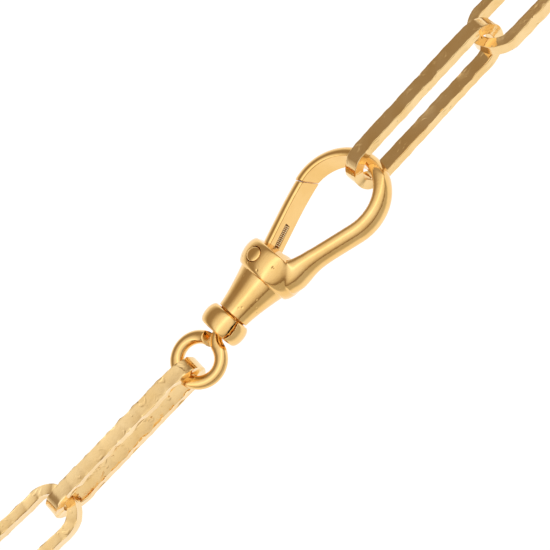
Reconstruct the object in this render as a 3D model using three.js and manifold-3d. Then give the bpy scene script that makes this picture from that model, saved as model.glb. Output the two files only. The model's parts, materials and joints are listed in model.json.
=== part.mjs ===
// A pocket watch chain: long hammered links on both sides of an Albert swivel clip. One side hangs on the
// swivel's turning bow and ends in a T-bar, the other is caught in the swivel's hook and ends in a ring.
// Millimetres, +Z up. The chain lies on the plane z = 0 with the swivel's axis along X.
import * as THREE from "three";
import { mergeVertices } from "three/addons/utils/BufferGeometryUtils.js";
import Module from "manifold-3d";

// A link is a flat bar bent on edge into a long loop with round ends.
const LINK = { length: 26.6, width: 7.6, bar: 1.5, depth: 2.1, edge: 0.2 };
const LINKS_PER_SIDE = 5;
// A grip is the distance from the middle of the bar that a loop hangs on to the inside of the loop's end.
const LINK_GRIP = 1.4;
const HOOK_GRIP = 1.95;
const BOW_GRIP = 1.25;

// The swivel's measures run along its axis, which starts at the outer face of the neck collar.
const NECK = { start: 0.3, radius: 1.75, bore: 1.15 };
const CHAMBER = { start: 3.2, end: 7, radius: 1.9 };
const CONE = { start: 3.05, end: 8.8, startRadius: 2.15, endRadius: 3.35, flare: 1.35 };
const SHOULDER = { start: 8.6, end: 12.35, startRadius: 3.4, endRadius: 3.8, radius: 4.4 };
// The swivel lies with its shoulder on the table, which sets how high its axis is.
const AXIS_HEIGHT = 4.43;
const COLLAR = { length: 2.9, bore: 2, rimRadius: 2.35, radius: 3, slit: 0.4, slitAngle: 148 };
const SLOT = { start: 8.75, low: -1.15, high: 3.5, halfHeight: 1.95 };

// The bar of the hook and the gate is flat inside the loop and rounded outside.
const BAR = { thickness: 1.75, width: 3.5, flatWall: 0.3, corner: 0.2 };
// The hook's arm runs from its root in the shoulder into an arc round `centre`, which ends at the gate.
const HOOK = { centre: [22.7, -0.8], radius: 6.075, root: 10.6, armSlope: 21.2, tip: 104 };
const ROOT_FLARE = { centre: [12, -3.75], length: 3.1, thickness: 1.2 };
// The gate's bar runs beside its pin, and its end is cut to a cone round the pin, so the seam slants.
const GATE = { pin: [10.5, 0.6], slope: 17, offset: 1.1, knuckle: 1.5, back: 0.6, reach: 12.05 };
const SEAM = { gap: 0.12, slant: 0.42 };
const GROOVE = { start: 2.7, end: 5.9, depth: 0.75, width: 0.96 };
const PIN = { radius: 0.5, hole: 0.65, headRadius: 1, headSeat: 3.75, headRise: 0.3, headDome: 0.4 };
const PIN_HEAD_GAP = { side: 0.15, under: 0.05 };
const PIN_TIP = -3.7;
const SPRING = { radius: 0.33, endGap: 0.15 };

// The bow is one bent wire: its stem turns in the neck, and its free end stops beside the stem.
const BOW = { wire: 0.875, ring: 2.875, centre: [-3.98, -0.5], freeEnd: 30, stemEnd: 10, turned: 17 };
const STEM = { end: 5.4, headStart: 4.8, headRadius: 1.45 };
const WASHER = { start: 3.5, end: 4.3, bore: 1.1, radius: 1.65 };

const JUMP_RING = { ring: 3.4, wire: 0.7, grip: 1.5 };
const WATCH_RING = { ring: 4.3, wire: 0.85, grip: 1.4, slide: -20 };
const T_BAR = { length: 26, radius: 1.3, tipRadius: 1.05, axisReach: 4.2 };
const T_KNOB = { radius: 2, flatRadius: 1.2, gap: 0.15 };
const T_EYE = { ring: 1.9, wire: 0.6, grip: 0.95, bandBore: 1.45, bandRadius: 1.95, bandLength: 2.2 };

// How each link lies: heading across the table, height of its far end, roll about its own length (0 is
// flat, 90 on edge), and how far it has slid round its parent's curved end. Degrees and millimetres.
const STANDING = LINK.width / 2;
const HOOK_SIDE = [
  { heading: -1.3, far: STANDING, roll: 90, slide: 0 },
  { heading: -3.5, far: STANDING, roll: 3, slide: 0 },
  { heading: 26, far: STANDING, roll: 90, slide: 30 },
  { heading: 68, far: STANDING, roll: 0, slide: 0 },
  { heading: 98, far: STANDING, roll: 90, slide: 30 },
];
const BOW_SIDE = [
  { heading: 175.5, far: 3.96, roll: 73, slide: 0 },
  { heading: 174, far: 4.45, roll: -17, slide: 0 },
  { heading: 204, far: 3.92, roll: 82, slide: 30 },
  { heading: 246, far: STANDING, roll: 0, slide: 0 },
  { heading: 276, far: STANDING, roll: 90, slide: 30 },
];

// Facets: an arc in an outline is drawn with twice its number of steps. ARC_STEP is in degrees.
const FACETS = { linkArc: 5, sectionArc: 5, wire: 10, rod: 16, ring: 24, turned: 24, sweep: 30, seam: 96 };
const ARC_STEP = 12;

const GOLD = new THREE.MeshStandardMaterial({ color: 0xe8b866, roughness: 0.18, metalness: 1 });
const STEEL = new THREE.MeshStandardMaterial({ color: 0xb9b4a8, roughness: 0.35, metalness: 1 });

const X = new THREE.Vector3(1, 0, 0);
const Y = new THREE.Vector3(0, 1, 0);
const Z = new THREE.Vector3(0, 0, 1);
const rad = THREE.MathUtils.degToRad;

const wasm = await Module();
wasm.setup();

// ---- Solids

function solid(geometry) {
  const plain = geometry.index ? geometry.toNonIndexed() : geometry.clone();
  plain.deleteAttribute("normal");
  plain.deleteAttribute("uv");
  const merged = mergeVertices(plain, 1e-4);
  const vertProperties = merged.attributes.position.array;
  const triVerts = new Uint32Array(merged.index.array);
  return new wasm.Manifold(new wasm.Mesh({ numProp: 3, vertProperties, triVerts }));
}

function geometryOf(manifold) {
  const data = manifold.getMesh();
  const geometry = new THREE.BufferGeometry();
  geometry.setAttribute("position", new THREE.BufferAttribute(data.vertProperties, 3));
  geometry.setIndex(new THREE.BufferAttribute(data.triVerts, 1));
  return geometry;
}

// A turned piece on the X axis, from [distance along X, radius] pairs.
function turned(profile, closed = false) {
  const points = profile.map(([along, radius]) => new THREE.Vector2(radius, along));
  if (closed) points.push(points[0].clone());
  return new THREE.LatheGeometry(points, FACETS.turned).rotateZ(-Math.PI / 2);
}

// A round rod along X.
function rod(start, end, radius, sides = FACETS.rod) {
  return new THREE.CylinderGeometry(radius, radius, end - start, sides)
    .rotateZ(-Math.PI / 2)
    .translate((start + end) / 2, 0, 0);
}

// A round rod along Z.
function upright(radius, low, high) {
  return rod(low, high, radius).rotateY(-Math.PI / 2);
}

// A box from its lowest and highest corners.
function block(low, high) {
  const size = high.map((value, i) => value - low[i]);
  const middle = high.map((value, i) => (value + low[i]) / 2);
  return new THREE.BoxGeometry(...size).translate(...middle);
}

// Points round an arc in the XY plane.
function arcPoints([x, y], radius, from, to) {
  const count = Math.ceil(Math.abs(to - from) / ARC_STEP);
  return Array.from({ length: count + 1 }, (_, i) => {
    const angle = rad(from + ((to - from) * i) / count);
    return new THREE.Vector3(x + radius * Math.cos(angle), y + radius * Math.sin(angle), 0);
  });
}

// A section swept along a smooth curve in the XY plane: its x points down, and its y to the curve's left.
function swept(section, points, steps) {
  const extrudePath = new THREE.CatmullRomCurve3(points);
  return new THREE.ExtrudeGeometry(section, { steps, extrudePath, curveSegments: FACETS.sectionArc });
}

function roundSection(radius) {
  return new THREE.Shape().absarc(0, 0, radius, 0, 2 * Math.PI);
}

// The D-shaped bar of the hook and gate: a flat on the side of positive y, and half an ellipse on the other.
function barSection() {
  const { thickness, flatWall, corner } = BAR;
  const side = BAR.width / 2;
  const flat = thickness / 2;
  const shape = new THREE.Shape();
  shape.absellipse(0, flat - flatWall, side, thickness - flatWall, Math.PI, 2 * Math.PI);
  shape.lineTo(side, flat - corner);
  shape.lineTo(side - corner, flat);
  shape.lineTo(corner - side, flat);
  shape.lineTo(-side, flat - corner);
  shape.closePath();
  return shape;
}

// [along, radius] pairs over a bead that swells between two rims.
function beadProfile({ start, end, startRadius, endRadius, radius }) {
  const steps = 9;
  return Array.from({ length: steps }, (_, i) => {
    const angle = (Math.PI * (i + 0.5)) / steps;
    const share = (1 - Math.cos(angle)) / 2;
    const rim = startRadius + (endRadius - startRadius) * share;
    return [start + (end - start) * share, rim + (radius - (startRadius + endRadius) / 2) * Math.sin(angle)];
  });
}

// ---- The links

// The outline of a slot with round ends, along X.
function slotOutline(path, halfStraight, radius) {
  path.absarc(halfStraight, 0, radius, -Math.PI / 2, Math.PI / 2);
  path.absarc(-halfStraight, 0, radius, Math.PI / 2, (3 * Math.PI) / 2);
  path.closePath();
  return path;
}

function linkGeometry() {
  const halfStraight = (LINK.length - LINK.width) / 2;
  const outline = slotOutline(new THREE.Shape(), halfStraight, LINK.width / 2);
  outline.holes.push(slotOutline(new THREE.Path(), halfStraight, LINK.width / 2 - LINK.bar));
  const geometry = new THREE.ExtrudeGeometry(outline, {
    depth: LINK.depth - 2 * LINK.edge,
    bevelSize: LINK.edge,
    bevelThickness: LINK.edge,
    bevelOffset: -LINK.edge,
    bevelSegments: 1,
    curveSegments: FACETS.linkArc,
  });
  return geometry.translate(0, 0, LINK.edge - LINK.depth / 2);
}

// ---- The swivel

function barrelProfile() {
  const steps = 6;
  const cone = Array.from({ length: steps + 1 }, (_, i) => {
    const radius = CONE.startRadius + (CONE.endRadius - CONE.startRadius) * (i / steps) ** CONE.flare;
    return [CONE.start + ((CONE.end - CONE.start) * i) / steps, radius];
  });
  return [
    [CHAMBER.end, 0],
    [CHAMBER.end, CHAMBER.radius],
    [CHAMBER.start, CHAMBER.radius],
    [CHAMBER.start, NECK.bore],
    [NECK.start, NECK.bore],
    [NECK.start, NECK.radius],
    [CONE.start, NECK.radius],
    ...cone,
    ...beadProfile(SHOULDER),
    [SHOULDER.end, SHOULDER.endRadius],
    [SHOULDER.end, 0],
  ];
}

// The hook's centre line: a straight arm from inside the shoulder, and the arc round past the seam.
function hookLine() {
  const arc = arcPoints(HOOK.centre, HOOK.radius, -90 - HOOK.armSlope, HOOK.tip);
  const armLength = (arc[0].x - HOOK.root) / Math.cos(rad(HOOK.armSlope));
  const toRoot = new THREE.Vector3(-Math.cos(rad(HOOK.armSlope)), Math.sin(rad(HOOK.armSlope)), 0);
  const arm = [1, 0.75, 0.5, 0.25].map((share) => arc[0].clone().addScaledVector(toRoot, armLength * share));
  return [...arm, ...arc];
}

// A cone round the gate's pin that reaches `reach` from it at half height, and less above.
function seamCone(reach) {
  const half = BAR.width;
  const lean = SEAM.slant * half;
  return new THREE.CylinderGeometry(reach - lean, reach + lean, 2 * half, FACETS.seam).rotateX(Math.PI / 2);
}

// The hook stops where the gate's cone, with the seam's gap, begins. The arm is below that cut.
function hookSolid() {
  const aboveArm = block([-HOOK.radius * 2, 0, -BAR.width], [HOOK.radius * 4, HOOK.radius * 2, BAR.width]);
  const gateSide = solid(seamCone(GATE.reach + SEAM.gap)).intersect(solid(aboveArm));
  const flare = new THREE.SphereGeometry(1, FACETS.rod, FACETS.wire)
    .scale(ROOT_FLARE.length, ROOT_FLARE.thickness, BAR.width / 2)
    .rotateZ(-rad(HOOK.armSlope))
    .translate(...ROOT_FLARE.centre, 0);
  return solid(swept(barSection(), hookLine(), FACETS.sweep))
    .subtract(gateSide.translate(...GATE.pin, 0))
    .add(solid(flare));
}

function swivelBody() {
  const past = SHOULDER.end + 1;
  const slot = block([SLOT.start, SLOT.low, -SLOT.halfHeight], [past, SLOT.high, SLOT.halfHeight]);
  const above = SHOULDER.radius + 1;
  const pinHole = upright(PIN.hole, -above, above);
  const headSeat = upright(PIN.headRadius + PIN_HEAD_GAP.side, PIN.headSeat, above);
  return solid(turned(barrelProfile()))
    .subtract(solid(slot))
    .subtract(solid(pinHole.translate(...GATE.pin, 0)))
    .subtract(solid(headSeat.translate(...GATE.pin, 0)))
    .add(hookSolid());
}

function neckCollar() {
  const { length, bore, rimRadius, radius, slit } = COLLAR;
  const bead = beadProfile({ start: 0, end: length, startRadius: rimRadius, endRadius: rimRadius, radius });
  const band = turned([[0, bore], ...bead, [length, bore]], true);
  const opening = block([-1, 0, -slit / 2], [length + 1, radius + 1, slit / 2]);
  return solid(band).subtract(solid(opening.rotateX(rad(COLLAR.slitAngle))));
}

// The gate's own X runs along its bar from the pin, and the flat of the bar faces -Y, inside the hook.
function gateSolid() {
  const bar = new THREE.ExtrudeGeometry(barSection(), {
    depth: GATE.reach + GATE.back,
    bevelEnabled: false,
    curveSegments: FACETS.sectionArc,
  });
  bar.applyMatrix4(new THREE.Matrix4().makeBasis(Z, Y.clone().negate(), X));
  bar.translate(-GATE.back, GATE.offset, 0);
  const knuckle = upright(GATE.knuckle, -BAR.width / 2, BAR.width / 2);
  const hole = upright(PIN.hole, -BAR.width, BAR.width);
  const flat = GATE.offset - BAR.thickness / 2;
  const groove = block(
    [GROOVE.start, flat - 1, -GROOVE.width / 2],
    [GROOVE.end, flat + GROOVE.depth, GROOVE.width / 2],
  );
  return solid(bar)
    .intersect(solid(seamCone(GATE.reach)))
    .add(solid(knuckle))
    .subtract(solid(hole))
    .subtract(solid(groove));
}

function gateSpring() {
  const middle = GATE.offset - BAR.thickness / 2 + GROOVE.depth / 2;
  const { radius, endGap } = SPRING;
  return rod(GROOVE.start + endGap, GROOVE.end - endGap, radius, FACETS.wire).translate(0, middle, 0);
}

// The pin's shank and its domed head, drawn along X from the lower end and stood up.
function gatePin() {
  const underHead = PIN.headSeat + PIN_HEAD_GAP.under;
  const headTop = underHead + PIN.headRise;
  const steps = 5;
  const dome = Array.from({ length: steps }, (_, i) => {
    const angle = (Math.PI / 2) * (i / steps);
    return [headTop + PIN.headDome * Math.sin(angle), PIN.headRadius * Math.cos(angle)];
  });
  const profile = [
    [PIN_TIP, 0],
    [PIN_TIP, PIN.radius],
    [underHead, PIN.radius],
    [underHead, PIN.headRadius],
    ...dome,
    [headTop + PIN.headDome, 0],
  ];
  return turned(profile).rotateY(-Math.PI / 2);
}

function swivelBow() {
  const ringLine = arcPoints(BOW.centre, BOW.ring, BOW.freeEnd, 360 + BOW.stemEnd);
  const stemStart = BOW.centre[0] + BOW.ring * Math.cos(rad(BOW.stemEnd));
  const bend = new THREE.SphereGeometry(BOW.wire, FACETS.rod, FACETS.wire).translate(stemStart, 0, 0);
  return solid(swept(roundSection(BOW.wire), ringLine, FACETS.sweep))
    .add(solid(bend))
    .add(solid(rod(stemStart, STEM.end, BOW.wire)))
    .add(solid(rod(STEM.headStart, STEM.end, STEM.headRadius)));
}

function bowWasher() {
  const { start, end, bore, radius } = WASHER;
  return turned([[start, bore], [start, radius], [end, radius], [end, bore]], true);
}

// ---- The T-bar

function tBarRod() {
  const half = T_BAR.length / 2;
  const steps = 8;
  const swelling = Array.from({ length: steps + 1 }, (_, i) => {
    const share = (2 * i) / steps - 1;
    const swell = (T_BAR.radius - T_BAR.tipRadius) * Math.cos((share * Math.PI) / 2);
    return [half * share, T_BAR.tipRadius + swell];
  });
  return turned([[-half, 0], ...swelling, [half, 0]]).rotateY(-Math.PI / 2);
}

// A ball with a flat towards the rod's end.
function tBarKnob() {
  const { radius, flatRadius } = T_KNOB;
  const first = Math.asin(flatRadius / radius);
  const cut = radius * Math.cos(first);
  const steps = 9;
  const ball = Array.from({ length: steps }, (_, i) => {
    const angle = first + ((Math.PI - first) * i) / steps;
    return [cut - radius * Math.cos(angle), radius * Math.sin(angle)];
  });
  return turned([[0, 0], ...ball, [cut + radius, 0]]).rotateY(-Math.PI / 2);
}

function tBarEye() {
  const ring = new THREE.TorusGeometry(T_EYE.ring, T_EYE.wire, FACETS.wire, FACETS.ring);
  ring.translate(T_EYE.ring - T_EYE.wire - T_EYE.grip, 0, 0);
  const half = T_EYE.bandLength / 2;
  const { bandBore: bore, bandRadius: radius } = T_EYE;
  const band = turned([[-half, bore], [-half, radius], [half, radius], [half, bore]], true);
  return solid(ring).add(solid(band.rotateY(-Math.PI / 2).translate(T_BAR.axisReach, 0, 0)));
}

// ---- Placing the pieces

function add(parent, name, shape, material = GOLD) {
  const geometry = shape.isBufferGeometry ? shape : geometryOf(shape);
  const mesh = new THREE.Mesh(geometry, material);
  mesh.name = name;
  parent.add(mesh);
  return mesh;
}

// A body's group stands on its hinge: the origin is on the hinge's axis, and the axis is the group's Z.
function bodyAt(parent, name, position, quaternion) {
  const group = new THREE.Group();
  group.name = name;
  group.position.copy(position);
  group.quaternion.copy(quaternion);
  parent.add(group);
  return group;
}

// The turn that points X along `direction`, keeps Z as near up as it can, and then rolls about X.
function lying(direction, roll) {
  const along = direction.clone().normalize();
  const side = Z.clone().cross(along).normalize();
  const basis = new THREE.Matrix4().makeBasis(along, side, along.clone().cross(side));
  return new THREE.Quaternion().setFromRotationMatrix(basis)
    .multiply(new THREE.Quaternion().setFromAxisAngle(X, rad(roll)));
}

function directionOf(heading, length, drop) {
  const level = Math.sqrt(length ** 2 - drop ** 2);
  return new THREE.Vector3(level * Math.cos(rad(heading)), level * Math.sin(rad(heading)), -drop);
}

// How far a link's middle is from its hinge.
function middleReach(grip) {
  return LINK.length / 2 - LINK.bar - grip;
}

// The middle of a link's far end bar, `slide` degrees round its curved end.
function farBar(body, grip, slide) {
  const bend = middleReach(grip) + (LINK.length - LINK.width) / 2;
  const arm = (LINK.width - LINK.bar) / 2;
  const point = new THREE.Vector3(bend + arm * Math.cos(rad(slide)), arm * Math.sin(rad(slide)), 0);
  return point.applyQuaternion(body.quaternion).add(body.position);
}

// Lays a run of links from a first hanging point, and returns the last link's body and grip.
function layLinks(parent, prefix, start, firstGrip, places) {
  let body = null;
  let grip = firstGrip;
  for (let i = 0; i < LINKS_PER_SIDE; i += 1) {
    const place = places[i];
    // A link that stands on edge slides round a flat link's end; seen from above the slide is a turn.
    const flip = body && Z.clone().applyQuaternion(body.quaternion).z < 0 ? -1 : 1;
    const at = body ? farBar(body, grip, flip * place.slide) : start;
    grip = body ? LINK_GRIP : firstGrip;
    const reach = middleReach(grip) + (LINK.length - LINK.bar) / 2;
    const direction = directionOf(place.heading, reach, at.z - place.far);
    body = bodyAt(parent, `${prefix}_${i + 1}`, at, lying(direction, place.roll));
    add(body, `${prefix}_${i + 1}`, linkGeometry().translate(middleReach(grip), 0, 0));
  }
  return { body, grip };
}

function addSwivel(parent) {
  const height = new THREE.Vector3(0, 0, AXIS_HEIGHT);
  const swivel = bodyAt(parent, "swivel", height, new THREE.Quaternion());
  add(swivel, "swivel_body", swivelBody());
  add(swivel, "neck_collar", neckCollar());
  add(swivel, "gate_pin", gatePin().translate(...GATE.pin, 0));

  const pin = new THREE.Vector3(...GATE.pin, AXIS_HEIGHT);
  const gate = bodyAt(parent, "gate", pin, new THREE.Quaternion().setFromAxisAngle(Z, rad(GATE.slope)));
  add(gate, "gate", gateSolid());
  add(gate, "gate_spring", gateSpring(), STEEL);

  const bowTurn = new THREE.Quaternion().setFromAxisAngle(X, rad(BOW.turned));
  const bow = bodyAt(parent, "bow", height, bowTurn);
  add(bow, "swivel_bow", swivelBow());
  add(bow, "bow_washer", bowWasher(), STEEL);

  const hookEnd = new THREE.Vector3(HOOK.centre[0] + HOOK.radius, HOOK.centre[1], AXIS_HEIGHT);
  const bowEnd = new THREE.Vector3(BOW.centre[0] - BOW.ring, BOW.centre[1], 0);
  return { hookEnd, bowEnd: bowEnd.applyQuaternion(bowTurn).add(height) };
}

// The ring for the watch leans from the last link's bar down to the table.
function addWatchRing(parent, last) {
  const at = farBar(last.body, last.grip, WATCH_RING.slide);
  const inner = WATCH_RING.ring - WATCH_RING.wire;
  const reach = inner - WATCH_RING.grip + WATCH_RING.ring;
  const { heading } = HOOK_SIDE[LINKS_PER_SIDE - 1];
  const direction = directionOf(heading, reach, at.z - WATCH_RING.wire);
  const body = bodyAt(parent, "watch_ring", at, lying(direction, 0));
  const ring = new THREE.TorusGeometry(WATCH_RING.ring, WATCH_RING.wire, FACETS.wire, FACETS.ring);
  add(body, "watch_ring", ring.translate(inner - WATCH_RING.grip, 0, 0));
}

function addTBar(parent, last) {
  const { heading } = BOW_SIDE[LINKS_PER_SIDE - 1];
  const at = farBar(last.body, last.grip, 0);
  const inner = JUMP_RING.ring - JUMP_RING.wire;
  const reach = inner - JUMP_RING.grip + JUMP_RING.ring;
  const jump = bodyAt(parent, "t_bar_ring", at, lying(directionOf(heading, reach, 0), 0));
  const ring = new THREE.TorusGeometry(JUMP_RING.ring, JUMP_RING.wire, FACETS.wire, FACETS.ring);
  add(jump, "t_bar_ring", ring.translate(inner - JUMP_RING.grip, 0, 0));

  // The bar hangs from the ring and rests on its two knobs.
  const eyeAt = at.clone().add(directionOf(heading, reach, 0));
  const direction = directionOf(heading, T_BAR.axisReach, eyeAt.z - T_KNOB.radius);
  const bar = bodyAt(parent, "t_bar", eyeAt, lying(direction, 90));
  add(bar, "t_bar_eye", tBarEye());
  add(bar, "t_bar_rod", tBarRod().translate(T_BAR.axisReach, 0, 0));
  const end = T_BAR.length / 2 + T_KNOB.gap;
  add(bar, "t_bar_knob_1", tBarKnob().translate(T_BAR.axisReach, 0, end));
  add(bar, "t_bar_knob_2", tBarKnob().rotateY(Math.PI).translate(T_BAR.axisReach, 0, -end));
}

const chain = new THREE.Group();
const { hookEnd, bowEnd } = addSwivel(chain);
addWatchRing(chain, layLinks(chain, "hook_link", hookEnd, HOOK_GRIP, HOOK_SIDE));
addTBar(chain, layLinks(chain, "bow_link", bowEnd, BOW_GRIP, BOW_SIDE));

// The origin is under the middle of the whole chain, on the plane that it lies on.
const box = new THREE.Box3().setFromObject(chain, true);
const middle = box.getCenter(new THREE.Vector3());
chain.position.set(-middle.x, -middle.y, -box.min.z);

const group = new THREE.Group();
group.add(chain);

export default group;
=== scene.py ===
"""A gold pocket watch chain round its CAD frame: hammered links, swivel clip, T-bar and end ring.

Shapes are drawn in millimetres in each piece's own place and then put where the frame has its joint.
"""

import json
import math

import bpy
import numpy as np
from mathutils import Matrix, Vector


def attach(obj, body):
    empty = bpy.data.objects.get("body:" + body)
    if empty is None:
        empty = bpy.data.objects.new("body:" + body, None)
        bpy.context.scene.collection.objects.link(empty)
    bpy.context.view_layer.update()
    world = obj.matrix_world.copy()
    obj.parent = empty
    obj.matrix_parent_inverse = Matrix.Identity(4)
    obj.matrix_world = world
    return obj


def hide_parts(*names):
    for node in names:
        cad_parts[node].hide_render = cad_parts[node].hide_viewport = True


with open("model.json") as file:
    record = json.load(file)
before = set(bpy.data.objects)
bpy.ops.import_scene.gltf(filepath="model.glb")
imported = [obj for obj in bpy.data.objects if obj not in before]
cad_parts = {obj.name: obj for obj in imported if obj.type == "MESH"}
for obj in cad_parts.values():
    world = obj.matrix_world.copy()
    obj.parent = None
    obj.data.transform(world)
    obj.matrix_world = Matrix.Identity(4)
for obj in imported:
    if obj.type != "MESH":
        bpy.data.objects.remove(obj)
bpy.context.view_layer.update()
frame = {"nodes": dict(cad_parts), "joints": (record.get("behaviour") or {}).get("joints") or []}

MM = 0.001
JOINTS = {joint["child"]: joint for joint in frame["joints"]}

# The link's bar, in the plane of the loop and across it, and the loop's outer size.
LINK = {"length": 26.6, "width": 7.6, "bar": 1.5, "depth": 2.1, "round_edge": 0.14, "step": 0.2}
# Hammer blows: ranges for the way to the next blow, its reach and its depth, and how far it strays.
FLAT_BLOW = {"spacing": (1.5, 2.6), "stray": 0.4, "reach": (1.2, 1.9), "depth": (0.1, 0.32)}
SIDE_BLOW = {"spacing": (1.6, 2.9), "stray": 0.5, "reach": (1.2, 1.8), "depth": (0.08, 0.18)}
# How far the ridges between the blows stand above the flat faces of a rough link.
PROUD = 0.03
# The swivel, measured along its axis from the outer face of the neck collar.
COLLAR = {"half_width": 1.45, "inside": 2.0, "foot": 2.35, "swell": 0.65, "start": 0.05, "end": 2.85}
COLLAR_SEAM = {"around": 148, "from": -0.4, "to": 3.3, "narrow": 0.13, "wider": 0.2, "ragged": 0.035}
NECK = {"start": 0.3, "end": 3.05, "radius": 1.75, "bore": 1.15}
CHAMBER = {"start": 3.2, "end": 7, "radius": 1.9}
CONE = {"start": 3.05, "length": 5.75, "radius": 2.15, "spread": 1.2, "curve": 1.35}
SHOULDER = {"start": 8.6, "end": 12.35, "back_rim": 3.4, "front_rim": 3.8, "swell": 0.8, "dome": 0.85}
# The D-shaped bar of the hook and the gate.
BAR = {"thick": 1.75, "width": 3.5, "wall": 0.3, "edge": 0.16}
HOOK = {"centre": (22.7, -0.8), "radius": 6.075, "slope": 21.2, "root": 10.6, "tip": 104}
# Where the arm grows out of the shoulder: its swell, and the region that is smoothed over.
ARM_ROOT = {"along": 11.6, "fade": 2.3, "outwards": 1.15, "wider": 0.42}
ROOT_FILLET = {"middle": (12.4, -3.6, 0), "reach": (2.8, 2.0, 3.4), "rounds": 260}
PITS = {"count": 22, "along": (4, 11.8), "reach": (0.09, 0.17), "depth": 0.05, "innermost": 2.2}
PLAIN_PIT = {"along": 10.75, "around": 54, "reach": 0.2, "depth": 0.12}
SLOT = {"start": 8.75, "end": 14.5, "low": -1.15, "high": 3.5, "half": 1.95}
GATE = {"pin": (10.5, 0.6), "offset": 1.1, "knuckle": 1.5, "back": 0.6, "reach": 12.05}
# The gate's bar leans out a little along its length and curls in at its free end.
GATE_LINE = {"lean": 0.1, "leans_over": 12, "curl": 0.25, "curls_from": 7, "curls_over": 5}
# The holes round the gate's pin, upwards from the middle of the swivel.
PIN_HOLE = {"seat_floor": 3.75, "seat": 1.07, "shoulder": 0.56, "gate": 0.6, "through": 6}
PIN = {"low": -3.7, "shank": 0.5, "head_low": 3.8, "head": 0.98}
PIN_DOME = {"low": 4.1, "height": 0.32, "top": 4.42}
SEAM = {"gap": 0.04, "slant": 0.42}
GROOVE = {"start": 2.7, "end": 5.9, "depth": 0.75, "width": 0.96}
COIL = {"wire": 0.09, "radius": 0.33, "turns": 12, "end_gap": 0.12, "sunk": 0.1}
# The bow's ring runs between two angles; the spare is cut off and the free end is sprung up.
BOW = {"wire": 0.875, "ring": 2.875, "free_end": 10.0, "spare": 14.0, "lift": 1.0, "lifted": 5.5}
BOW_BEND = {"ring_end": 344, "leave": 0.7, "arrive": (-0.5, -0.12), "stem": (0.6, 0.0)}
STEM = {"end": 5.35, "taper": 1.4, "thinner": 0.2, "head": [(4.8, 1.45), (5.4, 1.35)]}
# Turned outlines, as [along, radius] pairs.
WASHER = [(3.5, 1.1), (3.5, 1.6), (3.55, 1.65), (4.25, 1.65), (4.3, 1.6), (4.3, 1.1)]
EYE_BAND = [(-1.1, 1.45), (-1.1, 1.88), (-1.0, 1.95), (1.0, 1.95), (1.1, 1.88), (1.1, 1.45)]
# The rings' middle radius and the radius of their wire.
WATCH_RING = {"ring": 4.3, "wire": 0.85}
T_BAR_RING = {"ring": 3.4, "wire": 0.7}
T_BAR = {"half": 13.0, "radius": 1.3, "tip": 1.05, "knob": 2.0, "flat": 1.2, "gap": 0.15}
# The T-bar's eye: its hinge's distance from the bar's middle line, and its centre's from the hinge.
EYE = {"ring": 1.9, "wire": 0.6, "hinge": 4.2, "centre_from_hinge": 0.35}


# ---- Places from the frame


def place(origin, x_axis, z_axis):
    """The matrix from a piece's own millimetres to metres at the origin, with X and Z as given."""
    x_axis = Vector(x_axis).normalized()
    y_axis = Vector(z_axis).cross(x_axis).normalized()
    z_axis = x_axis.cross(y_axis)
    turn = Matrix((x_axis, y_axis, z_axis)).transposed().to_4x4()
    return Matrix.Translation(Vector(origin)) @ turn @ Matrix.Scale(MM, 4)


def hinge(body):
    """A body's joint: a point on its axis, in metres, and its direction."""
    return Vector(JOINTS[body]["pos_m"]), Vector(JOINTS[body]["axis"])


def middle_of(node):
    """The mean of a symmetric node's points."""
    points = [vertex.co for vertex in frame["nodes"][node].data.vertices]
    return sum(points, Vector()) / len(points)


def swivel_place():
    """At the middle of the neck collar's outer face, with X along the swivel and Z up."""
    origin, axis = hinge("bow")
    return place(origin, axis, (0, 0, 1))


def gate_place():
    """At the gate's pin, with X along the spring that lies in the gate's bar."""
    origin, axis = hinge("gate")
    points = [vertex.co for vertex in frame["nodes"]["gate_spring"].data.vertices]
    points.sort(key=lambda point: (point - origin).length)
    half = len(points) // 2
    near = sum(points[:half], Vector()) / half
    far = sum(points[half:], Vector()) / (len(points) - half)
    return place(origin, far - near, -axis)


def bow_place():
    """On the swivel's axis, turned so that the ring lies in the XY plane, offset towards -Y."""
    origin, axis = hinge("bow")
    out = hinge("bow_link_1")[0] - origin
    side = out - axis * out.dot(axis)
    return place(origin, axis, axis.cross(-side))


def loop_place(node):
    """At the middle of a loop, with Z along its hinge and X towards its far end."""
    origin, axis = hinge(node)
    return place(middle_of(node), middle_of(node) - origin, axis)


# ---- Meshes


def piece(name, vertices, faces, material, at, sharp=40.0):
    """A shown piece from points in millimetres, with hard edges only where faces meet steeply."""
    mesh = bpy.data.meshes.new(name)
    mesh.from_pydata(np.asarray(vertices, float).tolist(), [], faces)
    mesh.transform(at)
    finish_mesh(mesh, sharp)
    obj = bpy.data.objects.new(name, mesh)
    bpy.context.scene.collection.objects.link(obj)
    obj.data.materials.append(material)
    return obj


def finish_mesh(mesh, sharp):
    mesh.validate()
    mesh.shade_smooth()
    mesh.set_sharp_from_angle(angle=math.radians(sharp))


def grid_faces(rows, columns, closed_rows):
    """Quads over rows of points, each row a closed outline; rows that don't close get end caps."""
    faces = []
    for i in range(rows if closed_rows else rows - 1):
        k = (i + 1) % rows
        for j in range(columns):
            n = (j + 1) % columns
            faces.append((i * columns + j, k * columns + j, k * columns + n, i * columns + n))
    if not closed_rows:
        faces.append(tuple(range(columns)))
        faces.append(tuple(reversed(range((rows - 1) * columns, rows * columns))))
    return faces


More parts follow.
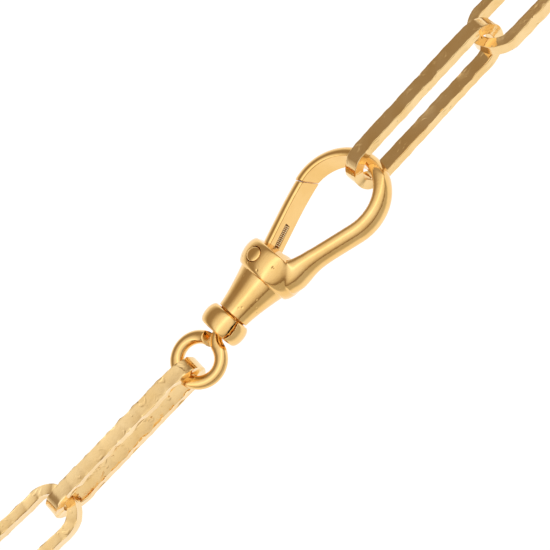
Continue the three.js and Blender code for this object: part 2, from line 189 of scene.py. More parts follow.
def sweep(path, section, closed=False):
    """Points and faces of a section (right, up), or one for each point, along a path in XY."""
    path = np.asarray(path, float)
    ahead = np.roll(path, -1, 0) if closed else np.vstack([path[1:], 2 * path[-1] - path[-2]])
    behind = np.roll(path, 1, 0) if closed else np.vstack([2 * path[0] - path[1], path[:-1]])
    along = ahead - behind
    along /= np.linalg.norm(along, axis=1)[:, None]
    right = np.stack([along[:, 1], -along[:, 0]], 1)
    sections = np.asarray(section, float)
    if sections.ndim == 2:
        sections = np.repeat(sections[None], len(path), axis=0)
    points = np.zeros((*sections.shape[:2], 3))
    points[:, :, :2] = path[:, None, :2] + right[:, None, :] * sections[:, :, :1]
    points[:, :, 2] = sections[:, :, 1]
    return points, grid_faces(*sections.shape[:2], closed)


def lathe(profile, sides=96):
    """Points and faces of [along, radius] pairs turned about X.

    A profile that starts with a radius of 0 is a solid with ends; any other closes on itself.
    """
    rings = [(along, radius) for along, radius in profile if radius > 0]
    angles = np.linspace(0, 2 * math.pi, sides, endpoint=False)
    points = [
        (along, radius * math.cos(angle), radius * math.sin(angle))
        for along, radius in rings
        for angle in angles
    ]
    return np.array(points), grid_faces(len(rings), sides, profile[0][1] > 0)


def capped(profile):
    """The same profile with flat ends that run in to the axis."""
    start, end = profile[0][0], profile[-1][0]
    return [(start, 0), (start, 0.01), *profile, (end, 0.01), (end, 0)]


def circle_section(radius, sides):
    angles = np.linspace(0, 2 * math.pi, sides, endpoint=False)
    return np.stack([radius * np.cos(angles), radius * np.sin(angles)], 1)


def arc(centre, radius, start, end, step):
    """Points round an arc, with angles in degrees."""
    count = max(2, math.ceil(abs(end - start) / step) + 1)
    angles = np.radians(np.linspace(start, end, count))
    return np.stack([centre[0] + radius * np.cos(angles), centre[1] + radius * np.sin(angles)], 1)


def lengths_along(points):
    """How far along the path each of its points lies."""
    return np.r_[0, np.cumsum(np.linalg.norm(np.diff(points, axis=0), axis=1))]


def spaced(points, step):
    """The same path with points a step apart."""
    points = np.asarray(points, float)
    lengths = lengths_along(points)
    wanted = np.linspace(0, lengths[-1], max(2, round(lengths[-1] / step) + 1))
    return np.stack([np.interp(wanted, lengths, points[:, k]) for k in range(points.shape[1])], 1)


def box_mesh(low, high):
    """Points and faces of a box between two opposite corners."""
    spans = list(zip(low, high))
    corners = [(x, y, z) for x in spans[0] for y in spans[1] for z in spans[2]]
    faces = [(0, 1, 3, 2), (4, 6, 7, 5), (0, 4, 5, 1), (2, 3, 7, 6), (0, 2, 6, 4), (1, 5, 7, 3)]
    return corners, faces


def turned_to_z(points):
    """Points drawn along X, stood up along Z."""
    points = np.asarray(points, float).reshape(-1, 3)
    return np.stack([-points[:, 2], points[:, 1], points[:, 0]], 1)


def moved(points, offset):
    return np.asarray(points, float).reshape(-1, 3) + np.asarray(offset, float)


# ---- Solids that are cut, melted together and smoothed


def loose(points, faces):
    """A working object in millimetres, with its faces turned outwards."""
    mesh = bpy.data.meshes.new("work")
    mesh.from_pydata(np.asarray(points, float).reshape(-1, 3).tolist(), [], faces)
    mesh.validate()
    obj = bpy.data.objects.new("work", mesh)
    bpy.context.scene.collection.objects.link(obj)
    outward(mesh)
    return obj


def outward(mesh):
    """Turns all faces round if the mesh's volume comes out negative."""
    mesh.calc_loop_triangles()
    triangles = mesh.loop_triangles
    corners = np.array([[mesh.vertices[i].co for i in triangle.vertices] for triangle in triangles])
    volume = np.einsum("ij,ij->i", corners[:, 0], np.cross(corners[:, 1], corners[:, 2])).sum()
    if volume < 0:
        mesh.flip_normals()


def apply(obj):
    """Replaces the object's mesh by what its modifiers make of it."""
    graph = bpy.context.evaluated_depsgraph_get()
    made = bpy.data.meshes.new_from_object(obj.evaluated_get(graph))
    obj.modifiers.clear()
    old = obj.data
    obj.data = made
    bpy.data.meshes.remove(old)


def combine(obj, other, operation):
    """Adds the other working object to this one, or takes it away, and deletes the other."""
    modifier = obj.modifiers.new("combine", "BOOLEAN")
    modifier.operation = operation
    modifier.solver = "EXACT"
    modifier.object = other
    apply(obj)
    mesh = other.data
    bpy.data.objects.remove(other)
    bpy.data.meshes.remove(mesh)


def melt(obj, voxel, rounds):
    """Makes one even skin of the object and rounds its edges by a few smoothing passes."""
    remesh = obj.modifiers.new("melt", "REMESH")
    remesh.mode = "VOXEL"
    remesh.voxel_size = voxel
    smooth = obj.modifiers.new("soften", "SMOOTH")
    smooth.factor = 0.5
    smooth.iterations = rounds
    apply(obj)


def soften_near(obj, middle, reach, rounds):
    """Smooths a working object strongly round one place, fading out to nothing at the reach."""
    distance = np.linalg.norm((points_of(obj) - middle) / reach, axis=1)
    group = obj.vertex_groups.new(name="near")
    for index in np.nonzero(distance < 1)[0]:
        group.add([int(index)], 1 - distance[index] ** 2, "REPLACE")
    smooth = obj.modifiers.new("soften", "SMOOTH")
    smooth.factor = 0.5
    smooth.iterations = rounds
    smooth.vertex_group = "near"
    apply(obj)
    obj.vertex_groups.clear()


def points_of(obj):
    points = np.empty(len(obj.data.vertices) * 3)
    obj.data.vertices.foreach_get("co", points)
    return points.reshape(-1, 3)


def set_points(obj, points):
    obj.data.vertices.foreach_set("co", points.ravel())
    obj.data.update()


def settle(obj, name, material, at, sharp=60.0):
    """Turns a working object into the shown piece at its place."""
    obj.name = name
    obj.data.name = name
    obj.data.transform(at)
    finish_mesh(obj.data, sharp)
    obj.data.materials.clear()
    obj.data.materials.append(material)
    return obj


def keep(obj, body, slot, *nodes):
    """Ties a finished piece to the frame."""
    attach(obj, body)
    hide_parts(*nodes)


# ---- Materials


def add(nodes, kind, **values):
    """A new node, with the named settings or inputs filled in."""
    node = nodes.new(kind)
    for key, value in values.items():
        if hasattr(node, key):
            setattr(node, key, value)
        else:
            node.inputs[key.replace("_", " ")].default_value = value
    return node


def new_material(name):
    """A material, with its nodes, links and shader."""
    material = bpy.data.materials.new(name)
    material.use_nodes = True
    nodes, links = material.node_tree.nodes, material.node_tree.links
    return material, nodes, links, nodes["Principled BSDF"]


def noise(nodes, links, **values):
    """A noise pattern that is fixed to the piece."""
    where = add(nodes, "ShaderNodeTexCoord")
    texture = add(nodes, "ShaderNodeTexNoise", **values)
    links.new(where.outputs["Object"], texture.inputs["Vector"])
    return texture.outputs["Fac"]


def remapped(nodes, links, value, source=(0.0, 1.0), target=(0.0, 1.0), curve="LINEAR"):
    """The value with its source range stretched to the target range."""
    node = add(nodes, "ShaderNodeMapRange", clamp=True, interpolation_type=curve)
    node.inputs["From Min"].default_value, node.inputs["From Max"].default_value = source
    node.inputs["To Min"].default_value, node.inputs["To Max"].default_value = target
    links.new(value, node.inputs["Value"])
    return node.outputs["Result"]


def blend(nodes, links, share, dark, light, ends=(0.0, 1.0)):
    """The dark colour below the first end of the share, the light one above the other."""
    ramp = add(nodes, "ShaderNodeValToRGB")
    low, high = ramp.color_ramp.elements
    low.position, high.position = ends
    low.color, high.color = (*dark, 1), (*light, 1)
    links.new(share, ramp.inputs["Fac"])
    return ramp.outputs["Color"]


def metal(name, light, dark, roughness, wear, bump, dings=0.0):
    """Polished metal with a slow change of tone, smudges in its gloss, a fine grain and dings.

    The noise scales are features per metre, and the grain and dings are at most 0.1 mm deep.
    """
    material, nodes, links, shader = new_material(name)
    shader.inputs["Metallic"].default_value = 1.0
    tone = noise(nodes, links, Scale=260.0, Detail=3.0)
    links.new(blend(nodes, links, tone, dark, light, ends=(0.3, 0.72)), shader.inputs["Base Color"])
    smudge = noise(nodes, links, Scale=900.0, Detail=5.0)
    links.new(remapped(nodes, links, smudge, target=roughness), shader.inputs["Roughness"])
    grain = add(nodes, "ShaderNodeBump", Strength=bump, Distance=0.0001)
    links.new(noise(nodes, links, Scale=wear, Detail=4.0), grain.inputs["Height"])
    # A ding is pressed in only where this noise is at its highest.
    struck = noise(nodes, links, Scale=850.0, Detail=1.0, Distortion=0.6)
    pressed = add(nodes, "ShaderNodeBump", Strength=dings, Distance=0.0001, invert=True)
    links.new(remapped(nodes, links, struck, source=(0.6, 0.74)), pressed.inputs["Height"])
    links.new(grain.outputs["Normal"], pressed.inputs["Normal"])
    links.new(pressed.outputs["Normal"], shader.inputs["Normal"])
    return material


# ---- The links


def link_section(side_steps=7):
    """Points (right, up) round the bar's section, an oblong with rounded corners, and their normals."""
    half_bar, half_depth, round_edge = LINK["bar"] / 2, LINK["depth"] / 2, LINK["round_edge"]
    points, normals = [], []
    for k, (right, up) in enumerate([(1, 1), (-1, 1), (-1, -1), (1, -1)]):
        centre = (right * (half_bar - round_edge), up * (half_depth - round_edge))
        for turned in (0, 22.5, 45, 67.5, 90):
            angle = math.radians(90 * k + turned)
            normal = (math.cos(angle), math.sin(angle))
            normals.append(normal)
            points.append((centre[0] + round_edge * normal[0], centre[1] + round_edge * normal[1]))
        half_side = half_bar if k % 2 == 0 else half_depth
        length = 2 * (half_side - round_edge)
        ahead = (math.cos(angle + math.pi / 2), math.sin(angle + math.pi / 2))
        corner = points[-1]
        for step in range(1, side_steps):
            on = length * step / side_steps
            points.append((corner[0] + ahead[0] * on, corner[1] + ahead[1] * on))
            normals.append(normal)
    return np.array(points), np.array(normals)


def link_path():
    """The loop's middle line, counter-clockwise."""
    straight = (LINK["length"] - LINK["width"]) / 2
    radius = (LINK["width"] - LINK["bar"]) / 2
    right = arc((straight, 0), radius, -90, 90, step=4)
    left = arc((-straight, 0), radius, 90, 270, step=4)
    return spaced(np.vstack([right, left, right[:1]]), LINK["step"])[:-1]


def blows_along(length, rng, blow):
    """Hammer blows one after another round the link: how far round, how far aside, reach and depth."""
    closest = blow["spacing"][0]
    around = np.cumsum(rng.uniform(*blow["spacing"], size=int(length / closest)))
    around = around[around < length - closest / 2]
    aside = rng.uniform(-blow["stray"], blow["stray"], len(around))
    reach = rng.uniform(*blow["reach"], len(around))
    return around, aside, reach, rng.uniform(*blow["depth"], len(around))


def dents(round_link, across, length, rng, blow):
    """How deep the blows press a face at the given places: shallow bowls that meet in ridges."""
    pressed = np.zeros(len(round_link))
    for around, aside, reach, deep in zip(*blows_along(length, rng, blow)):
        gap = (round_link - around + length / 2) % length - length / 2
        distance = gap**2 + 0.5 * (across - aside) ** 2
        pressed = np.maximum(pressed, deep * (1 - distance / reach**2))
    return pressed


def away_from_spine(points):
    """Directions in the link's plane, away from the line between the middles of its round ends."""
    half = (LINK["length"] - LINK["width"]) / 2
    spine = np.stack([np.clip(points[:, 0], -half, half), np.zeros(len(points))], 1)
    away = points[:, :2] - spine
    return away / np.linalg.norm(away, axis=1)[:, None]


def hammered_link(node, seed, rough, material):
    """One link: the blows on its four sides make its faces uneven and its edges waver."""
    rng = np.random.default_rng(seed)
    section, normals = link_section()
    grid, faces = sweep(link_path(), section, closed=True)
    rows, columns = grid.shape[:2]
    points = grid.reshape(-1, 3)
    length = rows * LINK["step"]
    round_link = np.repeat(np.arange(rows) * LINK["step"], columns)
    right, up = np.tile(section.T, rows)
    facing_right, facing_up = np.tile(normals.T, rows)
    away = away_from_spine(points)
    flat_blow = {**FLAT_BLOW, "depth": [rough * deep for deep in FLAT_BLOW["depth"]]}
    for sign in (1, -1):
        pressed = dents(round_link, right, length, rng, flat_blow) - PROUD * rough
        points[:, 2] -= sign * np.clip(sign * facing_up, 0, 1) * pressed
        pressed = dents(round_link, up, length, rng, SIDE_BLOW)
        points[:, :2] -= away * (sign * np.clip(sign * facing_right, 0, 1) * pressed)[:, None]
    return piece(node + "_hammered", points, faces, material, loop_place(node), sharp=60)


# ---- The swivel


def barrel_profile():
    """Neck, cone and shoulder as a turned outline, from the chamber behind the neck's bore."""
    inside = [
        (CHAMBER["end"], 0),
        (CHAMBER["end"], 0.05),
        (CHAMBER["end"], CHAMBER["radius"]),
        (CHAMBER["start"], CHAMBER["radius"]),
        (CHAMBER["start"], NECK["bore"]),
        (NECK["start"], NECK["bore"]),
        (NECK["start"], NECK["radius"]),
        (NECK["end"], NECK["radius"]),
    ]
    share = np.linspace(0, 1, 24)
    along = CONE["start"] + CONE["length"] * share
    cone = zip(along, CONE["radius"] + CONE["spread"] * share ** CONE["curve"])
    angle = np.linspace(0.08, math.pi - 0.1, 30)
    share = (1 - np.cos(angle)) / 2
    rim = SHOULDER["back_rim"] + (SHOULDER["front_rim"] - SHOULDER["back_rim"]) * share
    along = SHOULDER["start"] + (SHOULDER["end"] - SHOULDER["start"]) * share
    bead = zip(along, rim + SHOULDER["swell"] * np.sin(angle))
    radii = np.linspace(SHOULDER["front_rim"] - 0.1, 0.05, 12)
    along = SHOULDER["end"] + SHOULDER["dome"] * (1 - (radii / SHOULDER["front_rim"]) ** 2)
    return [*inside, *cone, *bead, *zip(along, radii), (along[-1], 0)]


def bar_section(outside_points=24, inside_points=9):
    """The hook's D: a flat towards the inside of the loop (left), rounded outside (right)."""
    flat, side = -BAR["thick"] / 2, BAR["width"] / 2
    angle = np.linspace(-math.pi / 2, math.pi / 2, outside_points)
    right = flat + BAR["wall"] + (BAR["thick"] - BAR["wall"]) * np.cos(angle)
    outside = np.stack([right, side * np.sin(angle)], 1)
    up = np.linspace(side - BAR["edge"], BAR["edge"] - side, inside_points)
    inside = np.stack([np.full(inside_points, flat), up], 1)
    return np.vstack([outside, inside])


def hook_path():
    """The middle line of the hook's bar: straight from its root, then round the bend to its tip."""
    slope = math.radians(HOOK["slope"])
    bend = arc(HOOK["centre"], HOOK["radius"], -90 - HOOK["slope"], HOOK["tip"], step=2)
    back = (bend[0, 0] - HOOK["root"]) / math.cos(slope)
    root = bend[0] + back * np.array([-math.cos(slope), math.sin(slope)])
    return spaced(np.vstack([root, bend]), step=0.15)


def hook_sections(path):
    """The bar's section, which swells outwards where the arm grows out of the shoulder."""
    section = bar_section()
    past = np.clip(path[:, 0] - ARM_ROOT["along"], 0, None)
    swell = np.exp(-((past / ARM_ROOT["fade"]) ** 2))
    sections = np.repeat(section[None], len(path), axis=0)
    outside = np.clip(section[:, 0] - section[:, 0].min(), 0, None) / BAR["thick"]
    sections[:, :, 0] += ARM_ROOT["outwards"] * swell[:, None] * outside[None, :]
    sections[:, :, 1] *= 1 + ARM_ROOT["wider"] * swell[:, None]
    return sections


def seam_cone(reach, below=-4.0, above=4.0):
    """A cone about Z that has this radius at half height, and less above."""
    wide, narrow = reach - SEAM["slant"] * below, reach - SEAM["slant"] * above
    points, faces = lathe(capped([(below, wide), (above, narrow)]), 720)
    return turned_to_z(points), faces


def upright_rod(low, high, radius, sides=32):
    """A rod about Z."""
    points, faces = lathe(capped([(low, radius), (high, radius)]), sides)
    return turned_to_z(points), faces


def hook():
    """The arm and the arc, cut off at the gate's seam."""
    path = hook_path()
    body = loose(*sweep(path, hook_sections(path)))
    points, faces = seam_cone(GATE["reach"] + SEAM["gap"])
    cut = loose(moved(points, (*GATE["pin"], 0)), faces)
    gate_side = box_mesh((-20, 0, -5), (40, 20, 5))
    combine(cut, loose(*gate_side), "INTERSECT")
    combine(body, cut, "DIFFERENCE")
    return body


def swivel_body(material):
    """Barrel, shoulder and hook, cast in one, with the gate's slot and the holes for its pin."""
    body = loose(*lathe(barrel_profile()))
    low = (SLOT["start"], SLOT["low"], -SLOT["half"])
    high = (SLOT["end"], SLOT["high"], SLOT["half"])
    combine(body, loose(*box_mesh(low, high)), "DIFFERENCE")
    through = PIN_HOLE["through"]
    for bottom, radius in ((PIN_HOLE["seat_floor"], PIN_HOLE["seat"]), (-through, PIN_HOLE["shoulder"])):
        points, faces = upright_rod(bottom, through, radius, 48)
        combine(body, loose(moved(points, (*GATE["pin"], 0)), faces), "DIFFERENCE")
    combine(body, hook(), "UNION")
    melt(body, voxel=0.08, rounds=4)
    soften_near(body, **ROOT_FILLET)
    set_points(body, pitted(points_of(body)))
    return settle(body, "swivel_casting", material, swivel_place())


def pitted(points):
    """Tiny casting pits in the shoulder and cone, one of them plain to see on top."""
    rng = np.random.default_rng(11)
    plain = PLAIN_PIT
    spots = [(plain["along"], math.radians(plain["around"]), plain["reach"], plain["depth"])]
    for _ in range(PITS["count"]):
        along, angle = rng.uniform(*PITS["along"]), rng.uniform(0, 2 * math.pi)
        spots.append((along, angle, rng.uniform(*PITS["reach"]), PITS["depth"]))
    radius = np.linalg.norm(points[:, 1:], axis=1)
    around = np.arctan2(points[:, 2], -points[:, 1])
    pressed = np.zeros(len(points))
    for along, angle, reach, deep in spots:
        turn = (around - angle + math.pi) % (2 * math.pi) - math.pi
        distance = np.hypot(points[:, 0] - along, turn * radius)
        pressed = np.maximum(pressed, deep * np.clip(1 - (distance / reach) ** 2, 0, 1))
    pressed[(radius < PITS["innermost"]) | (points[:, 0] > SHOULDER["end"] - 0.3)] = 0
    pushed_in = points.copy()
    pushed_in[:, 1:] *= (1 - pressed / radius.clip(1))[:, None]
    return pushed_in


def neck_collar(material):
    """A bead bent round the neck, with its seam left open and ragged."""
    angle = np.linspace(0.05, math.pi - 0.05, 26)
    half, inside = COLLAR["half_width"], COLLAR["inside"]
    bead = zip(half - half * np.cos(angle), COLLAR["foot"] + COLLAR["swell"] * np.sin(angle))
    collar = loose(*lathe([(COLLAR["start"], inside), *bead, (COLLAR["end"], inside)], 128))
    combine(collar, collar_seam(), "DIFFERENCE")
    melt(collar, voxel=0.055, rounds=4)
    return settle(collar, "neck_bead", material, swivel_place())


def collar_seam():
    """The ragged wedge that the collar's seam leaves open, widest half way along."""
    rng = np.random.default_rng(5)
    along = np.linspace(COLLAR_SEAM["from"], COLLAR_SEAM["to"], 24)
    half_wave = np.clip(np.sin((along - 0.1) / 2.9 * math.pi), 0, 1)
    width = COLLAR_SEAM["narrow"] + COLLAR_SEAM["wider"] * half_wave
    middle = 0.05 * np.sin(along * 2.3)
    ragged = COLLAR_SEAM["ragged"]
    upper = middle + width + rng.uniform(-ragged, ragged, len(along))
    lower = middle - width * 0.6 + rng.uniform(-ragged, ragged, len(along))
    inner, outer, spread = 1.5, 4, 1.2
    rows = [
        [(x, inner, low), (x, outer, low * spread), (x, outer, high * spread), (x, inner, high)]
        for x, low, high in zip(along, lower, upper)
    ]
    turned = math.radians(COLLAR_SEAM["around"])
    cos, sin = math.cos(turned), math.sin(turned)
    turn = np.array([[1, 0, 0], [0, cos, -sin], [0, sin, cos]])
    return loose(np.array(rows).reshape(-1, 3) @ turn.T, grid_faces(len(along), 4, False))


def gate(material):
    """The spring gate: its bar beside the pin, its knuckle, and the groove in the flat."""
    along = np.linspace(-GATE["back"], GATE["reach"] + 2, 90)
    past = np.clip(along - GATE_LINE["curls_from"], 0, None)
    curl = GATE_LINE["curl"] * (past / GATE_LINE["curls_over"]) ** 2
    lean = GATE_LINE["lean"] * np.clip(along / GATE_LINE["leans_over"], 0, 1)
    path = np.stack([along, GATE["offset"] - curl + lean], 1)
    body = loose(*sweep(path, bar_section() * (-1, 1)))
    combine(body, loose(*seam_cone(GATE["reach"])), "INTERSECT")
    height = BAR["width"] / 2
    combine(body, loose(*upright_rod(-height, height, GATE["knuckle"], 64)), "UNION")
    flat = GATE["offset"] - BAR["thick"] / 2
    low = (GROOVE["start"], flat - 1, -GROOVE["width"] / 2)
    high = (GROOVE["end"], flat + GROOVE["depth"], GROOVE["width"] / 2)
    combine(body, loose(*box_mesh(low, high)), "DIFFERENCE")
    through = PIN_HOLE["through"]
    combine(body, loose(*upright_rod(-through, through, PIN_HOLE["gate"])), "DIFFERENCE")
    melt(body, voxel=0.06, rounds=4)
    return settle(body, "spring_gate", material, gate_place())


def gate_spring(material):
    """A close coil of round wire lying in the gate's groove."""
    sides = 10
    steps = COIL["turns"] * 20
    angle = np.linspace(0, 2 * math.pi * COIL["turns"], steps)
    along = np.linspace(GROOVE["start"] + COIL["end_gap"], GROOVE["end"] - COIL["end_gap"], steps)
    middle = GATE["offset"] - BAR["thick"] / 2 + GROOVE["depth"] / 2 - COIL["sunk"]
    across, up = COIL["radius"] * np.cos(angle), COIL["radius"] * np.sin(angle)
    centre = np.stack([along, middle + across, up], 1)
    out = np.stack([np.zeros(steps), np.cos(angle), np.sin(angle)], 1)[:, None]
    side = np.array([1.0, 0, 0])[None, None]
    ring = np.linspace(0, 2 * math.pi, sides, endpoint=False)[None, :, None]
    points = centre[:, None] + COIL["wire"] * (np.cos(ring) * out + np.sin(ring) * side)
    faces = grid_faces(steps, sides, False)
    return piece("gate_coil", points.reshape(-1, 3), faces, material, gate_place())


def gate_pin(material):
    """The pin's shank, with a low domed head in its seat."""
    low, shank, head_low, head = PIN["low"], PIN["shank"], PIN["head_low"], PIN["head"]
    foot = [(low, 0), (low, 0.01), (low, shank - 0.05), (low + 0.1, shank)]
    rim = [(head_low, shank), (head_low, head - 0.04), (head_low + 0.06, head)]
    angle = np.linspace(0, math.pi / 2, 16)[:-1]
    along = PIN_DOME["low"] + PIN_DOME["height"] * np.sin(angle)
    dome = [(PIN_DOME["low"] - 0.05, head), *zip(along, head * np.cos(angle) ** 0.85)]
    profile = [*foot, *rim, *dome, (PIN_DOME["top"], 0.02), (PIN_DOME["top"], 0)]
    points, faces = lathe(profile, 48)
    at = swivel_place() @ Matrix.Translation((*GATE["pin"], 0))
    return piece("gate_rivet", turned_to_z(points), faces, material, at)


def bezier(start, start_handle, end_handle, end, steps=14):
    """Points along a Bezier curve, without its start."""
    t = np.linspace(0, 1, steps)[1:, None]
    first_half = (1 - t) ** 3 * start + 3 * t * (1 - t) ** 2 * start_handle
    return first_half + 3 * t**2 * (1 - t) * end_handle + t**3 * end


def bow_path():
    """The wire's middle line: round the ring, through a tight bend and along the stem."""
    origin, axis = hinge("bow")
    out = (hinge("bow_link_1")[0] - origin) / MM
    along = out.dot(axis)
    centre = (along + BOW["ring"], -(out - axis * along).length)
    ring = arc(centre, BOW["ring"], BOW["free_end"] - BOW["spare"], BOW_BEND["ring_end"], step=3)
    ahead = (ring[-1] - ring[-2]) / np.linalg.norm(ring[-1] - ring[-2])
    leave = ring[-1] + BOW_BEND["leave"] * ahead
    bend = bezier(ring[-1], leave, np.array(BOW_BEND["arrive"]), np.array(BOW_BEND["stem"]))
    return spaced(np.vstack([ring, bend, [(STEM["end"], 0)]]), step=0.16)


def swivel_bow(material):
    """One bent wire, nipped off aslant at its free end, with a head riveted inside the barrel."""
    path = bow_path()
    wire = circle_section(BOW["wire"], 40)
    middle = len(path) // 2
    ring, faces = sweep(path[: middle + 2], wire)
    ring[:, :, 2] += free_end_lift(path)[: middle + 2, None]
    bow = loose(ring, faces)
    combine(bow, nipper(path), "DIFFERENCE")
    stem = path[middle:]
    thin = 1 - STEM["thinner"] * np.clip((stem[:, 0] + STEM["taper"]) / STEM["taper"], 0, 1)
    combine(bow, loose(*sweep(stem, wire[None] * thin[:, None, None])), "UNION")
    combine(bow, loose(*lathe(capped(STEM["head"]), 48)), "UNION")
    melt(bow, voxel=0.06, rounds=3)
    return settle(bow, "bow_wire", material, bow_place())


def free_end_lift(path):
    """How far each point of the wire is sprung out of the ring's plane, near its free end."""
    return BOW["lift"] * np.clip(1 - lengths_along(path) / BOW["lifted"], 0, 1) ** 2


def nipper(path):
    """A block that takes the spare off the wire, with a face that looks towards the stem and up."""
    cut = np.searchsorted(lengths_along(path), math.radians(BOW["spare"]) * BOW["ring"])
    middle = Vector((*path[cut], free_end_lift(path)[cut]))
    turn = Vector((0.4, -0.55, 0.75)).normalized().to_track_quat("X", "Z").to_matrix()
    points, faces = box_mesh((0, -3, -3), (5, 3, 3))
    return loose([tuple(turn @ Vector(point) + middle) for point in points], faces)


def bow_washer(material):
    """The thrust washer on the stem, between the chamber's wall and the stem's head."""
    points, faces = lathe(WASHER, 64)
    return piece("bow_thrust_washer", points, faces, material, bow_place())


# ---- Rings and the T-bar


def jump_ring(node, size, material):
    """A ring bent from wire, with the fine butt seam that closes it away from the loads."""
    half_seam = 0.35
    path = arc((0, 0), size["ring"], 90 + half_seam, 450 - half_seam, step=2)
    points, faces = sweep(path, circle_section(size["wire"], 28))
    # The edges of both ends are eased.
    for row, shrink in ((0, 0.93), (1, 0.985), (-2, 0.985), (-1, 0.93)):
        middle = points[row].mean(0)
        points[row] = middle + (points[row] - middle) * shrink
    return piece(node + "_wire", points.reshape(-1, 3), faces, material, loop_place(node))


def t_bar_place():
    """At the middle of the bar, with Z along it."""
    origin, axis = hinge("t_bar")
    middle = middle_of("t_bar_rod")
    return place(middle, middle - origin, axis)


def t_bar_rod(material):
    """The bar, a little slimmer towards its ends."""
    share = np.linspace(-1, 1, 40)
    radius = T_BAR["tip"] + (T_BAR["radius"] - T_BAR["tip"]) * np.cos(share * math.pi / 2)
    points, faces = lathe(capped(list(zip(T_BAR["half"] * share, radius))), 48)
    return piece("t_bar_shaft", turned_to_z(points), faces, material, t_bar_place())


def t_bar_knob(node, side, material):
    """A turned ball with a flat that meets the end of the bar."""
    ball, flat = T_BAR["knob"], T_BAR["flat"]
    cut = math.sqrt(ball**2 - flat**2)
    angles = np.linspace(math.acos(cut / ball), math.pi - 0.02, 40)
    skin = [(cut - ball * math.cos(angle), ball * math.sin(angle)) for angle in angles]
    profile = [(0, 0), (0, 0.01), *skin, (cut + ball, 0.01), (cut + ball, 0)]
    points, faces = lathe(profile, 64)
    points = turned_to_z(moved(points, (T_BAR["half"] + T_BAR["gap"], 0, 0)))
    if side < 0:
        points = points * (1, -1, -1)
    return piece(node + "_ball", points, faces, material, t_bar_place())


def t_bar_eye(material):
    """A wire eye soldered to a band round the middle of the bar."""
    ring = arc((0, 0), EYE["ring"], 0, 356, step=4)
    points, faces = sweep(ring, circle_section(EYE["wire"], 28), closed=True)
    eye = loose(moved(points, (EYE["centre_from_hinge"] - EYE["hinge"], 0, 0)), faces)
    points, faces = lathe(EYE_BAND, 64)
    combine(eye, loose(turned_to_z(points), faces), "UNION")
    melt(eye, voxel=0.06, rounds=4)
    return settle(eye, "t_bar_loop", material, t_bar_place())


# ---- The studio


def floor():
    """A pale floor far below the chain: no shadow falls round it, and links that hang stay in view."""
    half, height = 6.0, -0.16
    corners = [(x * half, y * half, height) for x, y in ((-1, -1), (1, -1), (1, 1), (-1, 1))]
    mesh = bpy.data.meshes.new("floor")
    mesh.from_pydata(corners, [], [(0, 1, 2, 3)])
    obj = bpy.data.objects.new("floor", mesh)
    bpy.context.scene.collection.objects.link(obj)
    obj.data.materials.append(light_table())


def light_table():
    """White under and behind the chain, with a painted shadow in front that the chain's lower edges
    reflect, which darkens them.

    It is lit from below. The change from the painted shadow to white lies between two distances in
    front, in metres.
    """
    # Painted shadow: the floor in front is darkened as if the chain shaded it, so the chain's lower
    # edges reflect that shade.
    painted_shadow_grey, white = (0.54, 0.52, 0.49), (1, 1, 1)
    painted_shadow_ends, white_starts = -0.27, -0.11
    glow, reflects = 0.6, 0.56
    material, nodes, links, shader = new_material("light_table")
    shader.inputs["Roughness"].default_value = 0.9
    shader.inputs["Specular IOR Level"].default_value = 0.1
    where = add(nodes, "ShaderNodeTexCoord")
    parts = add(nodes, "ShaderNodeSeparateXYZ")
    links.new(where.outputs["Object"], parts.inputs["Vector"])
    edge = (painted_shadow_ends, white_starts)
    share = remapped(nodes, links, parts.outputs["Y"], source=edge, curve="SMOOTHSTEP")
    colour = blend(nodes, links, share, painted_shadow_grey, white)
    links.new(colour, shader.inputs["Emission Color"])
    shader.inputs["Emission Strength"].default_value = glow
    diffuse = add(nodes, "ShaderNodeVectorMath", operation="SCALE")
    diffuse.inputs["Scale"].default_value = reflects
    links.new(colour, diffuse.inputs[0])
    links.new(diffuse.outputs["Vector"], shader.inputs["Base Color"])
    return material


# The tent's bands: the angle from the front horizon over the top (90) to the back horizon (180), and
# the brightness and warmth there.
TENT_BANDS = [
    (-180, 0.85, 0.1),
    (-10, 0.8, 0.15),
    (-3, 0.3, 0.9),
    (5, 0.32, 0.9),
    (13, 0.62, 0.45),
    (30, 0.95, 0.1),
    (50, 1.1, 0.0),
    (66, 1.6, 0.0),
    (80, 1.05, 0.05),
    (92, 0.95, 0.1),
    (104, 0.74, 0.3),
    (112, 0.54, 0.55),
    (122, 0.38, 0.8),
    (150, 0.36, 0.9),
    (164, 0.58, 0.5),
    (180, 0.9, 0.1),
]


def tent_colour(brightness, warmth):
    """Warmth takes away half of the blue and a quarter of the green."""
    return (brightness, brightness * (1 - 0.25 * warmth), brightness * (1 - 0.5 * warmth), 1)


def studio_light():
    """A white tent with dark gaps behind the chain and low in front of it, in bands along X."""
    world = bpy.data.worlds.new("studio")
    bpy.context.scene.world = world
    world.use_nodes = True
    nodes, links = world.node_tree.nodes, world.node_tree.links
    where = add(nodes, "ShaderNodeTexCoord")
    parts = add(nodes, "ShaderNodeSeparateXYZ")
    links.new(where.outputs["Generated"], parts.inputs["Vector"])
    back = add(nodes, "ShaderNodeMath", operation="MULTIPLY")
    back.inputs[1].default_value = -1.0
    links.new(parts.outputs["Y"], back.inputs[0])
    angle = add(nodes, "ShaderNodeMath", operation="ARCTAN2")
    links.new(parts.outputs["Z"], angle.inputs[0])
    links.new(back.outputs["Value"], angle.inputs[1])
    share = remapped(nodes, links, angle.outputs["Value"], source=(-math.pi, math.pi))
    ramp = add(nodes, "ShaderNodeValToRGB")
    ramp.color_ramp.interpolation = "LINEAR"
    elements = ramp.color_ramp.elements
    while len(elements) < len(TENT_BANDS):
        elements.new(0.5)
    for element, (degrees, brightness, warmth) in zip(elements, TENT_BANDS):
        element.position = (degrees + 180) / 360
        element.color = tent_colour(brightness, warmth)
    links.new(share, ramp.inputs["Fac"])
    links.new(ramp.outputs["Color"], nodes["Background"].inputs["Color"])
    nodes["Background"].inputs["Strength"].default_value = 1.02


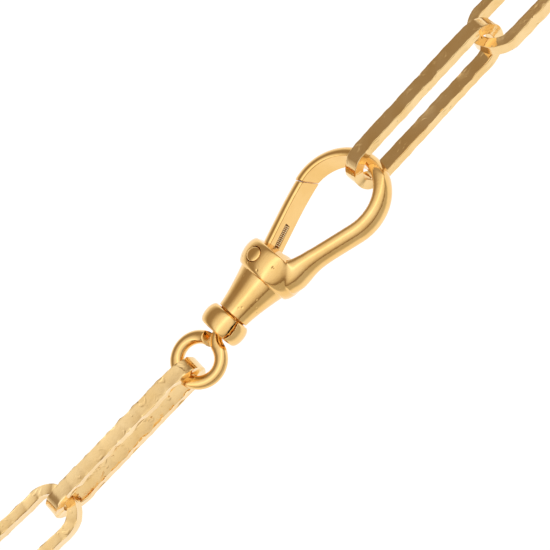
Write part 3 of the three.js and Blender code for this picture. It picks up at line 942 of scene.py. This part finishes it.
def camera():
    """Looks down on the chain from the front, rolled so that it climbs to the right."""
    elevation, roll = math.radians(54), math.radians(49.3)
    distance, seen_across, sensor = 191.0, 68.75, 36.0
    aim_along, aim_below = 10.25, 0.75
    away = Vector((0, -math.cos(elevation), math.sin(elevation)))
    level = Vector((0, 0, 1)).cross(away).normalized()
    rise = away.cross(level)
    right = level * math.cos(roll) - rise * math.sin(roll)
    up = level * math.sin(roll) + rise * math.cos(roll)
    origin = swivel_place().translation
    target = origin + Vector((aim_along * MM, 0, 0)) - rise * aim_below * MM
    data = bpy.data.cameras.new("camera")
    data.sensor_width = sensor
    data.lens = sensor * distance / seen_across
    data.clip_start = 0.005
    obj = bpy.data.objects.new("camera", data)
    bpy.context.scene.collection.objects.link(obj)
    turn = Matrix((right, up, away)).transposed().to_4x4()
    obj.matrix_world = Matrix.Translation(target + away * distance * MM) @ turn
    bpy.context.scene.camera = obj


def look():
    """Colours as they are lit, without a film look."""
    scene = bpy.context.scene
    scene.view_settings.view_transform = "Standard"
    scene.view_settings.look = "None"


# ---- Making it all

camera()
look()
floor()
studio_light()

gold = metal(
    "polished_gold",
    light=(0.93, 0.63, 0.265),
    dark=(0.85, 0.535, 0.185),
    roughness=(0.05, 0.13),
    wear=2600.0,
    bump=0.1,
    dings=0.04,
)
hammered_gold = metal(
    "hammered_gold",
    light=(0.93, 0.69, 0.36),
    dark=(0.84, 0.57, 0.24),
    roughness=(0.05, 0.15),
    wear=1900.0,
    bump=0.16,
    dings=0.3,
)
steel = metal(
    "gilt_spring_steel",
    light=(0.92, 0.74, 0.46),
    dark=(0.78, 0.6, 0.34),
    roughness=(0.14, 0.26),
    wear=3000.0,
    bump=0.1,
)

for number in range(1, 6):
    for side, seed, rough in (("hook_link", 360, 0.6), ("bow_link", 320, 1.0)):
        node = f"{side}_{number}"
        keep(hammered_link(node, seed + number, rough, hammered_gold), node, "gold", node)

keep(swivel_body(gold), "swivel", "gold", "swivel_body")
keep(neck_collar(gold), "swivel", "gold", "neck_collar")
keep(gate_pin(gold), "swivel", "gold", "gate_pin")
keep(gate(gold), "gate", "gold", "gate")
keep(gate_spring(steel), "gate", "spring_steel", "gate_spring")
keep(swivel_bow(gold), "bow", "gold", "swivel_bow")
keep(bow_washer(steel), "bow", "spring_steel", "bow_washer")
keep(jump_ring("watch_ring", WATCH_RING, gold), "watch_ring", "gold", "watch_ring")
keep(jump_ring("t_bar_ring", T_BAR_RING, gold), "t_bar_ring", "gold", "t_bar_ring")
keep(t_bar_rod(gold), "t_bar", "gold", "t_bar_rod")
keep(t_bar_knob("t_bar_knob_1", 1, gold), "t_bar", "gold", "t_bar_knob_1")
keep(t_bar_knob("t_bar_knob_2", -1, gold), "t_bar", "gold", "t_bar_knob_2")
keep(t_bar_eye(gold), "t_bar", "gold", "t_bar_eye")
